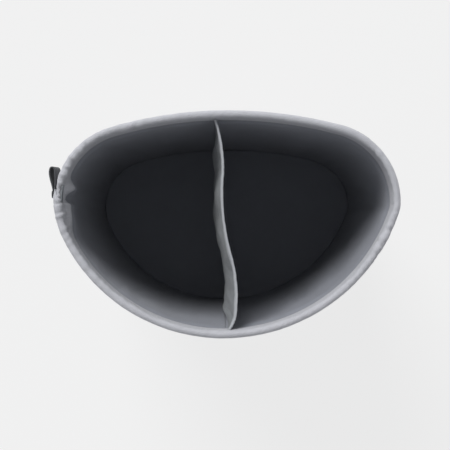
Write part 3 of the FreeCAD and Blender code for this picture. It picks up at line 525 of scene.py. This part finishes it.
class SORTER_OT_materials(SorterStep, bpy.types.Operator):
    """Makes every material"""
    bl_idname = "sorter.materials"
    bl_label = "Materials"

    def execute(self, context):
        c = colours()
        # Canvas woven from two-tone polyester yarn, like linen: matt and pale, flecked with slubs.
        # In every cloth below the weave is drawn coarser than a real one, so that it shows
        woven("hem", "hem_polyester_canvas", c.hem,
              pitch=0.8 * MM, relief=0.35 * MM, slub=0.3, roughness=0.9)
        woven("canvas", "outer_polyester_canvas", c.canvas,
              pitch=0.8 * MM, relief=0.35 * MM, slub=0.3, roughness=0.9)
        # Thin polyester with a waterproof coating: smoother and cooler, with a slight shine. Its grey is
        # drawn darker than the real lining, as painted shade for the bag's deep inside
        woven("lining", "coated_polyester_lining", c.lining,
              pitch=0.5 * MM, relief=0.15 * MM, slub=0.12, roughness=0.7)
        # Closely woven polyester over foam: an even grey
        woven("divider", "divider_polyester_cloth", c.divider,
              pitch=0.6 * MM, relief=0.2 * MM, slub=0.16, roughness=0.75)
        # Grosgrain tape, drawn as a fine weave: paler than the cloth that it binds
        woven("binding", "grosgrain_binding_tape", c.binding,
              pitch=0.7 * MM, relief=0.2 * MM, slub=0.08, roughness=0.8)
        # Polypropylene webbing: a coarse dark weave with a dull shine
        woven("webbing", "polypropylene_webbing", c.webbing,
              pitch=1.2 * MM, relief=0.4 * MM, slub=0.1, roughness=0.75)
        # Spun polyester sewing thread: matt, a little darker than the canvas
        plain("thread", "polyester_thread", c.thread,
              metallic=0.0, roughness=0.7, grain=0.4 * MM, relief=0.1 * MM)
        # Corrugated polypropylene sheet: milky white and satin
        plain("stiffener", "polypropylene_sheet", c.stiffener,
              metallic=0.0, roughness=0.5, grain=2 * MM, relief=0.05 * MM)
        # Spring steel in a plastic coat: nearly black, with soft reflections
        plain("hoop", "coated_spring_steel", c.hoop,
              metallic=0.0, roughness=0.35, grain=2 * MM, relief=0.02 * MM)
        # Pressed steel, zinc plated: bright, slightly blue and unevenly dull
        plain("zinc", "zinc_plated_steel", c.zinc,
              metallic=1.0, roughness=0.34, grain=1.5 * MM, relief=0.02 * MM)
        # Hard chrome steel balls: sharp reflections
        plain("ball", "bearing_steel", c.ball,
              metallic=1.0, roughness=0.16, grain=1 * MM, relief=0.005 * MM)
        # Moulded nylon: dark grey and satin
        plain("nylon", "moulded_nylon", c.nylon,
              metallic=0.0, roughness=0.45, grain=1.2 * MM, relief=0.03 * MM)
        # Moulded thermoplastic rubber: mid grey and dull
        plain("rubber", "thermoplastic_rubber", c.rubber,
              metallic=0.0, roughness=0.62, grain=0.8 * MM, relief=0.05 * MM)
        plywood()
        return {"FINISHED"}


# Part of a node's name, and its material; everything else hard is zinc plated
NODE_MATERIALS = (
    ("stiffener", "stiffener"), ("rim_hoop", "hoop"), ("base_board", "plywood"),
    ("swivel_balls", "ball"), ("wheel_core", "nylon"), ("tyre", "rubber"),
)


class SORTER_OT_hard_parts(SorterStep, bpy.types.Operator):
    """Gives the frame's hard parts their materials"""
    bl_idname = "sorter.hard_parts"
    bl_label = "Hard parts"

    def execute(self, context):
        for name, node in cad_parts.items():
            keys = [key for word, key in NODE_MATERIALS if word in name]
            node.data.materials.clear()
            node.data.materials.append(MATERIALS[keys[0] if keys else "zinc"])
        return {"FINISHED"}


# Share of the hem's width in its outer side, and again in its inner side
HEM_SIDE = 0.36


def flap(distance):
    """How far the hem's inner edge folds into the bag beside the left seam."""
    total = mouth().total
    past = (distance + total / 2) % total - total / 2
    back_fold = 15 * MM * hill(past, -14 * MM, 13 * MM)
    front_fold = 9 * MM * smooth(10 * MM, 24 * MM, past) * smooth(0, 50 * MM, 95 * MM - past)
    return back_fold + front_fold


def lining_edge(distance):
    """How far the lining's top edge lies inside the mouth's outline."""
    s = sizes()
    return s.top_inset + s.wall_depth + s.lining_puff + flap(distance)


def hem_profile(around, distance):
    """Distance inside the mouth's outline and height, from the outer edge over the top inwards."""
    s = sizes()
    radius = s.hem_width / 2
    shoulder = s.rim_height - radius
    if HEM_SIDE <= around <= 1 - HEM_SIDE:
        angle = math.pi * (around - HEM_SIDE) / (1 - 2 * HEM_SIDE)
        return s.hem_middle - radius * math.cos(angle), shoulder + radius * math.sin(angle)
    if around < HEM_SIDE:
        up = around / HEM_SIDE
        foot, head = s.top_inset - s.hem_thickness, s.hem_middle - radius
    else:
        up = (1 - around) / HEM_SIDE
        foot, head = lining_edge(distance) + 0.6 * MM, s.hem_middle + radius
    return foot + (head - foot) * smooth(0, 1, up), s.hem_foot + (shoulder - s.hem_foot) * up


def gather(distance):
    """How strongly the hem is gathered at a distance from the left seam."""
    total, right = mouth().total, mouth().right_seam
    seam = min(distance % total, total - distance % total)
    all_round = 0.45
    left_end = 0.7 * (smooth(total - 340 * MM, total - 120 * MM, distance)
                      + 1 - smooth(20 * MM, 160 * MM, distance))
    left_seam = 1.3 * hill(seam, 0, 45 * MM)
    right_seam = 0.9 * hill(distance, right, 30 * MM)
    front_corner = 0.8 * hill(distance, right - 40 * MM, 50 * MM)
    return all_round + left_end + left_seam + right_seam + front_corner


class SORTER_OT_hem(SorterStep, bpy.types.Operator):
    """Sews the hem round the hoop, with its ends crossing at the left seam"""
    bl_idname = "sorter.hem"
    bl_label = "Hem"

    def execute(self, context):
        draw_lines()
        s = sizes()
        total = mouth().total
        under = 16 * MM
        slant_reach = 24 * MM
        crease_depth, wave_depth = 1.9 * MM, 1.3 * MM
        middle_height = s.rim_height - s.hem_width / 2

        def spot(u, v):
            # The front end slants over the back end, which runs on under it
            slant = slant_reach * min(max((v - HEM_SIDE) / (1 - 2 * HEM_SIDE), 0), 1)
            distance = slant - 5 * MM + (total + under) * u
            front_end = 1 - smooth(4 * MM, 50 * MM, distance - slant)
            back_end = smooth(total - 30 * MM, total - 2 * MM, distance)
            inset, z = hem_profile(v, distance)
            # The top end is fuller and the one below is pinched, only in the tube round the hoop
            tube = smooth(0.2, 0.38, v) * smooth(0.2, 0.38, 1 - v)
            swell = 1 + tube * (0.26 * front_end - 0.34 * back_end)
            rise = 1 + tube * (0.12 * front_end - 0.34 * back_end)
            inset = s.hem_middle + (inset - s.hem_middle) * swell
            inset += 1.7 * MM * front_end * smooth(0.6, 0.72, v)
            z = middle_height + (z - middle_height) * rise
            # Creases fade at both sewn edges, and are weaker on the outer side
            free = math.sin(math.pi * v) ** 0.5 * (0.25 + 0.75 * smooth(0.36, 0.46, v))
            lean = distance + 20 * MM * (v - 0.5)
            crease = ripple(lean, z, 7.5 * MM, 1.0) + 0.8 * ripple(lean, z, 3.5 * MM, 7.0)
            wave = ripple(distance, z, 45 * MM, 3.0)
            push = free * (gather(distance) * crease_depth * crease + wave_depth * wave)
            point, out = mouth().at(distance, inset)
            normal = out * (s.hem_middle - inset) + UP * (z - middle_height)
            if normal.length > 0:
                normal.normalize()
            return point + UP * z + normal * push

        width = total + under
        piece = cloth_grid("hem_cloth", (1090, 30), spot, (width, 0.092), s.hem_thickness,
                           MATERIALS["hem"])
        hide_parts("rim_hem")
        return {"FINISHED"}


def wall_spot(distance, z, out_by):
    """A point on the wall at a height, moved out of the bag by a distance."""
    point, out = mouth().at(distance, wall_inset(z))
    return point + UP * z + out * out_by


class SORTER_OT_outer_cloth(SorterStep, bpy.types.Operator):
    """Hangs the two outer panels from the hem"""
    bl_idname = "sorter.outer_cloth"
    bl_label = "Outer cloth"

    def execute(self, context):
        draw_lines()
        s = sizes()
        height = s.wall_top - s.wall_foot
        right_seam, total = mouth().right_seam, mouth().total
        for side, first, last, seed in (("front", 0, right_seam, 10.0), ("back", right_seam, total, 20.0)):

            def spot(u, v, first=first, last=last, seed=seed):
                distance = first + (last - first) * u
                z = s.wall_foot + height * v
                # Nothing moves at the seams, and broad folds stay clear of the hem and the foot
                sides = smooth(0, 0.06, u) * smooth(0, 0.06, 1 - u)
                calm = sides * smooth(0, 0.1, v) * smooth(0, 0.12, 1 - v)
                soft = 5.5 * MM * fold(distance + 0.05 * v, z, 70 * MM, seed)
                drag = 2.2 * MM * fold(distance - 0.12 * v, z * 3, 35 * MM, seed + 3)
                fine = 0.6 * MM * fold(distance, z * 2, 12 * MM, seed + 5)
                # Gathers fade downwards from the hem, and upwards from the foot
                top = smooth(0, 0.02, 1 - v) * smooth(0.72, 0.99, v)
                foot = smooth(0, 0.02, v) * smooth(0, 0.2, 0.25 - v)
                gathers = 1.6 * MM * fold(distance, z / 3, 11 * MM, seed + 9)
                return wall_spot(distance, z, calm * (soft + drag + fine) + (top + 0.8 * foot) * gathers)

            name = "outer_%s_cloth" % side
            piece = cloth_grid(name, (300, 120), spot, (last - first, height), s.outer_thickness,
                               MATERIALS["canvas"])
            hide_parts("outer_%s_panel" % side)
        return {"FINISHED"}


def lining_bulge(distance, z):
    """How far the lining stands into the bag: slack folds, and a loose flap at the left seam."""
    s = sizes()
    below = smooth(0, 20 * MM, s.wall_top - z)
    above = z - s.floor_top
    puff = s.lining_puff * (0.2 + 0.8 * smooth(0.42, 0.57, z)) + flap(distance) * smooth(0.47, 0.58, z)
    broad = 6 * MM * fold(distance, z, 60 * MM, 31.0)
    fine = 1.6 * MM * fold(distance, z, 16 * MM, 37.0)
    return puff * smooth(0, 30 * MM, above) + below * smooth(0, 60 * MM, above) * (broad + fine)


class SORTER_OT_linings(SorterStep, bpy.types.Operator):
    """Hangs a lining in each compartment, down to the floor"""
    bl_idname = "sorter.linings"
    bl_label = "Linings"

    def execute(self, context):
        draw_lines()
        s = sizes()
        foot = s.wall_foot + 1.2 * MM
        height = s.wall_top - foot
        start, end = line().room(mouth(), wall_inset(s.wall_top) + s.wall_depth)
        back = mouth().distance_of(line().at(start)[0].x, "back")
        front = mouth().distance_of(line().at(end)[0].x, "front")
        ranges = {"left": (back - mouth().total, front), "right": (front, back)}
        for side, (first, last) in ranges.items():

            def spot(u, v, first=first, last=last):
                distance = last + (first - last) * u
                z = foot + height * v
                return wall_spot(distance, z, -s.wall_depth - lining_bulge(distance, z))

            piece = cloth_grid("%s_lining_cloth" % side, (190, 120), spot, (last - first, height),
                               s.lining_thickness, MATERIALS["lining"])
            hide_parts("%s_lining" % side)
        return {"FINISHED"}


def floor_ends(inset, y):
    """Smallest and largest x inside the line at an inset, at a place along Y."""
    steps = 1440
    points = [mouth().at(mouth().total * k / steps, inset)[0] for k in range(steps + 1)]
    found = []
    for one, two in zip(points, points[1:]):
        if (one.y - y) * (two.y - y) <= 0 and one.y != two.y:
            found.append(one.x + (two.x - one.x) * (y - one.y) / (two.y - one.y))
    return min(found), max(found)


class SORTER_OT_floor_linings(SorterStep, bpy.types.Operator):
    """Lays a floor lining in each compartment"""
    bl_idname = "sorter.floor_linings"
    bl_label = "Floor linings"

    def execute(self, context):
        draw_lines()
        s = sizes()
        inset = wall_inset(s.floor_top) + s.wall_depth + 0.2 * MM
        start, end = line().room(mouth(), inset)
        rows = 70
        back, front = line().at(start)[0].y - 0.1 * MM, line().at(end)[0].y + 0.1 * MM
        strips = []
        divider = [line().at(start + (end - start) * k / 400)[0] for k in range(401)]
        for k in range(rows + 1):
            y = front + (back - front) * k / rows
            nearest = min(divider, key=lambda point: abs(point.y - y))
            strips.append((y, *floor_ends(inset, y), nearest.x))
        for side in ("left", "right"):

            def spot(u, v, side=side):
                y, low, high, middle = strips[round(v * rows)]
                one, two = (low, middle) if side == "left" else (middle, high)
                x = one + (two - one) * u
                edge = min(u, 1 - u, v, 1 - v)
                # The cloth lies unevenly on the board, and flat at its edges
                uneven = 0.5 + 0.5 * noise.noise(Vector((x / (50 * MM), y / (50 * MM), 3)))
                lift = 1.2 * MM * smooth(0, 0.1, edge) * uneven
                return Vector((x, y, s.floor_top + lift))

            width = 0.27
            piece = cloth_grid("%s_floor_cloth" % side, (90, rows), spot, (width, back - front),
                               s.lining_thickness, MATERIALS["lining"])
            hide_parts("%s_floor_lining" % side)
        return {"FINISHED"}


class SORTER_OT_bottom_cover(SorterStep, bpy.types.Operator):
    """Closes the bag under the board"""
    bl_idname = "sorter.bottom_cover"
    bl_label = "Bottom cover"

    def execute(self, context):
        draw_lines()
        s = sizes()
        middle = Vector((s.shift_x, s.shift_y - 35 * MM, s.wall_foot))
        turned_share = 0.1

        def spot(u, v):
            edge, out = mouth().at(mouth().total * (1 - u), s.foot_inset)
            edge.z = s.wall_foot
            point = middle.lerp(edge, min(v / (1 - turned_share), 1))
            # The last of the cloth turns up round the board's edge
            angle = max(v - 1 + turned_share, 0) / turned_share * math.pi / 2
            return point + out * (1.4 * MM * math.sin(angle)) + UP * (6 * MM * (1 - math.cos(angle)))

        piece = cloth_grid("bottom_cover_cloth", (220, 40), spot, (1.45, 0.19), s.outer_thickness,
                           MATERIALS["canvas"], joined=True)
        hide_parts("bottom_cover")
        return {"FINISHED"}


DIVIDER_LENGTH = 0.42


def divider_bulge(place, height):
    """How far the divider stands to the left: it leans below its top and hangs in soft folds."""
    s = sizes()
    held = smooth(0, 0.10, place) * smooth(0, 0.12, 1 - place)
    depth = math.sin(math.pi * min(height, 1)) ** 0.8
    lean = s.divider_bulge * (0.8 + 0.35 * place)
    across, along = place * DIVIDER_LENGTH, height * 0.5
    broad = 4 * MM * ripple(across, along, 35 * MM, 51.0)
    fine = 1.2 * MM * ripple(across, along, 12 * MM, 57.0)
    free = smooth(0, 0.06, 1 - height) * smooth(0, 0.05, height)
    return held * (lean * depth + broad * free) + free * fine


class SORTER_OT_divider(SorterStep, bpy.types.Operator):
    """Hangs the divider between the back and the front, with a bound top edge"""
    bl_idname = "sorter.divider"
    bl_label = "Divider"

    def execute(self, context):
        draw_lines()
        s = sizes()
        top = s.divider_top - s.binding_wall
        height = top - s.floor_top
        rows = 100
        rooms = []
        for k in range(rows + 1):
            z = s.floor_top + height * k / rows
            # Its ends meet the lining below, and stop at the hem above
            gap = 0.5 * MM * (1 - smooth(0.57, 0.6, z)) + 4.6 * MM * smooth(0.578, 0.606, z)
            rooms.append(line().room(mouth(), wall_inset(z) + s.wall_depth + gap))

        def spot(u, v):
            first, last = rooms[round(v * rows)]
            place = first + (last - first) * u
            point, left = line().at(place)
            return point + UP * (s.floor_top + height * v) + left * divider_bulge(u, v)

        piece = cloth_grid("divider_cloth", (150, rows), spot, (DIVIDER_LENGTH, height),
                           s.divider_thickness, MATERIALS["divider"], offset=0)
        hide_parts("divider_panel")
        binding = self.binding(rooms[rows])
        return {"FINISHED"}

    def binding(self, room):
        """Folds the tape over the divider's top edge."""
        s = sizes()
        half = s.divider_thickness / 2 + s.binding_wall
        drop = s.binding_drop - half
        side = 0.4

        def spot(u, v):
            point, left = line().at(room[0] + (room[1] - room[0]) * u)
            # Up the left side, over the edge and down the right side
            if v < side:
                across, z = half, s.divider_top - half - drop * (1 - v / side)
            elif v > 1 - side:
                across, z = -half, s.divider_top - half - drop * (v - 1 + side) / side
            else:
                angle = math.pi * (v - side) / (1 - 2 * side)
                across, z = half * math.cos(angle), s.divider_top - half + half * math.sin(angle)
            sway = 0.6 * MM * ripple(u * DIVIDER_LENGTH, z, 10 * MM, 61.0)
            pucker = 0.3 * MM * ripple(u * DIVIDER_LENGTH, v, 6 * MM, 63.0)
            below = divider_bulge(u, (z - s.floor_top) / (s.divider_top - s.floor_top))
            return point + left * (across + sway + below) + UP * (z + pucker)

        piece = cloth_grid("divider_binding_tape", (260, 20), spot, (DIVIDER_LENGTH, 0.03), 1.0 * MM,
                           MATERIALS["binding"])
        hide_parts("divider_binding")
        return piece


class SORTER_OT_seam_tapes(SorterStep, bpy.types.Operator):
    """Sews a tape over each side seam"""
    bl_idname = "sorter.seam_tapes"
    bl_label = "Seam tapes"

    def execute(self, context):
        draw_lines()
        s = sizes()
        foot = s.wall_foot + 2 * MM
        height = s.wall_top - foot
        rows = []
        for side, middle in (("left", 0.0), ("right", mouth().right_seam)):

            def spot(u, v, middle=middle):
                distance = middle + s.tape_width * (u - 0.5)
                z = foot + height * v
                crown = 0.8 * MM * smooth(0, 0.25, u) * smooth(0, 0.25, 1 - u)
                pucker = 0.3 * MM * ripple(distance, z * 6, 10 * MM, 71.0)
                return wall_spot(distance, z, 0.4 * MM + crown + pucker)

            piece = cloth_grid("%s_seam_cover" % side, (14, 180), spot, (s.tape_width, height), 0.8 * MM,
                               MATERIALS["binding"])
            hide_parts("%s_seam_tape" % side)
            for aside in (-0.37, 0.37):

                def curve(up, distance=middle + s.tape_width * aside):
                    return wall_spot(distance, up, 1.3 * MM), mouth().at(distance)[1]

                rows.append(stitch_row(curve, foot, s.wall_top - 2 * MM, s.stitch_pitch))
        stitches("seam_tape_stitches", rows)
        return {"FINISHED"}


class SORTER_OT_topstitching(SorterStep, bpy.types.Operator):
    """Stitches the hem's two edges"""
    bl_idname = "sorter.topstitching"
    bl_label = "Topstitching"

    def execute(self, context):
        draw_lines()
        s = sizes()
        low = s.hem_foot + 3.5 * MM

        def outside(distance):
            point, out = mouth().at(distance, s.top_inset - 1.5 * MM)
            return point + UP * low, out

        def inside(distance):
            point, out = mouth().at(distance, lining_edge(distance) + 1.0 * MM)
            return point + UP * low, -out

        first, last = 4 * MM, mouth().total - 4 * MM
        rows = [stitch_row(curve, first, last, s.stitch_pitch) for curve in (outside, inside)]
        stitches("hem_stitches", rows)
        return {"FINISHED"}


# The loop from above, from one sewn end to the other, in millimetres from its root
LOOP_SHAPE = (
    (1.2, -15), (1.2, -5), (1.8, 2), (2.8, 8), (3.9, 15), (4.6, 23), (4.5, 31), (3.0, 36.6), (0.0, 38.2),
    (-3.0, 36.6), (-4.5, 31), (-4.5, 23), (-3.9, 15), (-3.0, 8), (-2.0, 2), (-1.1, -5), (-1.1, -15),
)


def along_points(points, place):
    """Smooth curve through points, at a place from 0 to 1."""
    spot = place * (len(points) - 1)
    low = min(int(spot), len(points) - 2)
    t = spot - low
    a, b = points[max(low - 1, 0)], points[low]
    c, d = points[low + 1], points[min(low + 2, len(points) - 1)]
    square, cube = 2 * a - 5 * b + 4 * c - d, 3 * b - a - 3 * c + d
    return 0.5 * (2 * b + (c - a) * t + square * t * t + cube * t ** 3)


class SORTER_OT_pull_loop(SorterStep, bpy.types.Operator):
    """Folds the webbing pull loop and sews its ends under a tab"""
    bl_idname = "sorter.pull_loop"
    bl_label = "Pull loop"

    def execute(self, context):
        s = sizes()
        root = Vector((s.loop_root_x, s.loop_root_y, s.loop_middle))
        points = [Vector((x * MM, y * MM, 0)) for x, y in LOOP_SHAPE]
        tab_length = 12.5 * MM

        def spot(u, v):
            flat = along_points(points, u)
            out = smooth(0, 30 * MM, flat.y)
            lean = -6.5 * MM * (v - 0.5) * out
            sag = 2 * MM * out * abs(u - 0.5)
            return root + flat + Vector((lean, 0, (v - 0.5) * s.loop_width - sag))

        piece = cloth_grid("pull_loop_webbing", (120, 14), spot, (0.115, s.loop_width), s.loop_webbing,
                           MATERIALS["webbing"], offset=0, body=None)
        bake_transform(piece)
        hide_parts("pull_loop")

        def tab_spot(u, v):
            bow = 0.6 * MM * math.sin(math.pi * u)
            y = tab_length * u - 15.5 * MM
            return root + Vector((-3.2 * MM - bow, y, (0.5 - v) * s.loop_width * 0.98))

        tab = cloth_grid("loop_anchor_tab", (12, 20), tab_spot, (tab_length, s.loop_width), 1.2 * MM,
                         MATERIALS["webbing"])
        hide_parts("loop_anchor")
        rows = []
        for y in (-13.5 * MM, -5.5 * MM):

            def curve(up, y=y):
                return root + Vector((-3.8 * MM, y, up)), Vector((-1, 0, 0))

            rows.append(stitch_row(curve, -s.loop_width * 0.42, s.loop_width * 0.42, 3 * MM))
        stitches("loop_anchor_stitches", rows)
        return {"FINISHED"}


# The key light travels from the back left to the front right and down, and is as wide as a
# large diffuser; the rest of the light comes evenly from all round
KEY_TRAVEL = (0.5, -1.0, -0.85)
KEY_STRENGTH = 2.4
KEY_SPREAD = math.radians(34)
SKY_COLOUR = (0.97, 0.98, 1.0, 1)
SKY_STRENGTH = 0.4
FLOOR_GLOW = 0.765
FLOOR_HALF_WIDTH = 60
# Straight above the mouth, two metres over the rim
CAMERA_PLACE = (-1.2 * MM, -1.2 * MM, 2.62)
CAMERA_LENS = 92.9
CAMERA_SENSOR = 36


class SORTER_OT_studio(SorterStep, bpy.types.Operator):
    """Sets the pale floor, the soft light and the camera"""
    bl_idname = "sorter.studio"
    bl_label = "Studio"

    def execute(self, context):
        tree = new_material("floor", "pale_studio_floor")
        # A backlit acrylic table top: pale and matt, and shadows stay faint on it
        acrylic = add_node(tree, "ShaderNodeBsdfPrincipled",
                           {"Base Color": (*colours().floor, 1), "Roughness": 0.9,
                            "Emission Color": (*linear("FFFFFF"), 1), "Emission Strength": FLOOR_GLOW})
        add_node(tree, "ShaderNodeOutputMaterial", {"Surface": acrylic.outputs["BSDF"]})
        mesh = bmesh.new()
        bmesh.ops.create_grid(mesh, x_segments=1, y_segments=1, size=FLOOR_HALF_WIDTH)
        floor = finish_mesh(mesh, "studio_floor", MATERIALS["floor"], None)
        sun = bpy.data.lights.new("key_light", "SUN")
        sun.energy = KEY_STRENGTH
        sun.angle = KEY_SPREAD
        key = bpy.data.objects.new("key_light", sun)
        key.rotation_euler = Vector(KEY_TRAVEL).to_track_quat("-Z", "Y").to_euler()
        context.scene.collection.objects.link(key)
        world = bpy.data.worlds.new("studio")
        world.use_nodes = True
        world.node_tree.nodes.clear()
        light = add_node(world.node_tree, "ShaderNodeBackground",
                         {"Color": SKY_COLOUR, "Strength": SKY_STRENGTH})
        add_node(world.node_tree, "ShaderNodeOutputWorld", {"Surface": light.outputs[0]})
        context.scene.world = world
        context.scene.view_settings.view_transform = "Standard"
        lens = bpy.data.cameras.new("camera")
        lens.lens = CAMERA_LENS
        lens.sensor_width = CAMERA_SENSOR
        camera = bpy.data.objects.new("camera", lens)
        camera.location = CAMERA_PLACE
        context.scene.collection.objects.link(camera)
        context.scene.camera = camera
        return {"FINISHED"}


OPERATORS = (
    SORTER_OT_materials, SORTER_OT_hard_parts, SORTER_OT_hem, SORTER_OT_outer_cloth,
    SORTER_OT_linings, SORTER_OT_floor_linings, SORTER_OT_bottom_cover, SORTER_OT_divider,
    SORTER_OT_seam_tapes, SORTER_OT_topstitching, SORTER_OT_pull_loop, SORTER_OT_studio,
)


class SORTER_PT_panel(bpy.types.Panel):
    """Lists the steps in order"""
    bl_label = "Laundry Sorter"
    bl_idname = "SORTER_PT_panel"
    bl_space_type = "VIEW_3D"
    bl_region_type = "UI"
    bl_category = "Sorter"

    def draw(self, context):
        for step in OPERATORS:
            self.layout.operator(step.bl_idname)


CLASSES = (SorterSizes, SorterColours, *OPERATORS, SORTER_PT_panel)


def register():
    """Adds the classes and the scene's settings."""
    for item in CLASSES:
        bpy.utils.register_class(item)
    bpy.types.Scene.sorter_sizes = PointerProperty(type=SorterSizes)
    bpy.types.Scene.sorter_colours = PointerProperty(type=SorterColours)


def unregister():
    """Takes them away again."""
    del bpy.types.Scene.sorter_colours
    del bpy.types.Scene.sorter_sizes
    for item in reversed(CLASSES):
        bpy.utils.unregister_class(item)


def main():
    """Builds everything in order."""
    register()
    for step in OPERATORS:
        family, name = step.bl_idname.split(".")
        getattr(getattr(bpy.ops, family), name)()


if __name__ == "__main__":
    main()
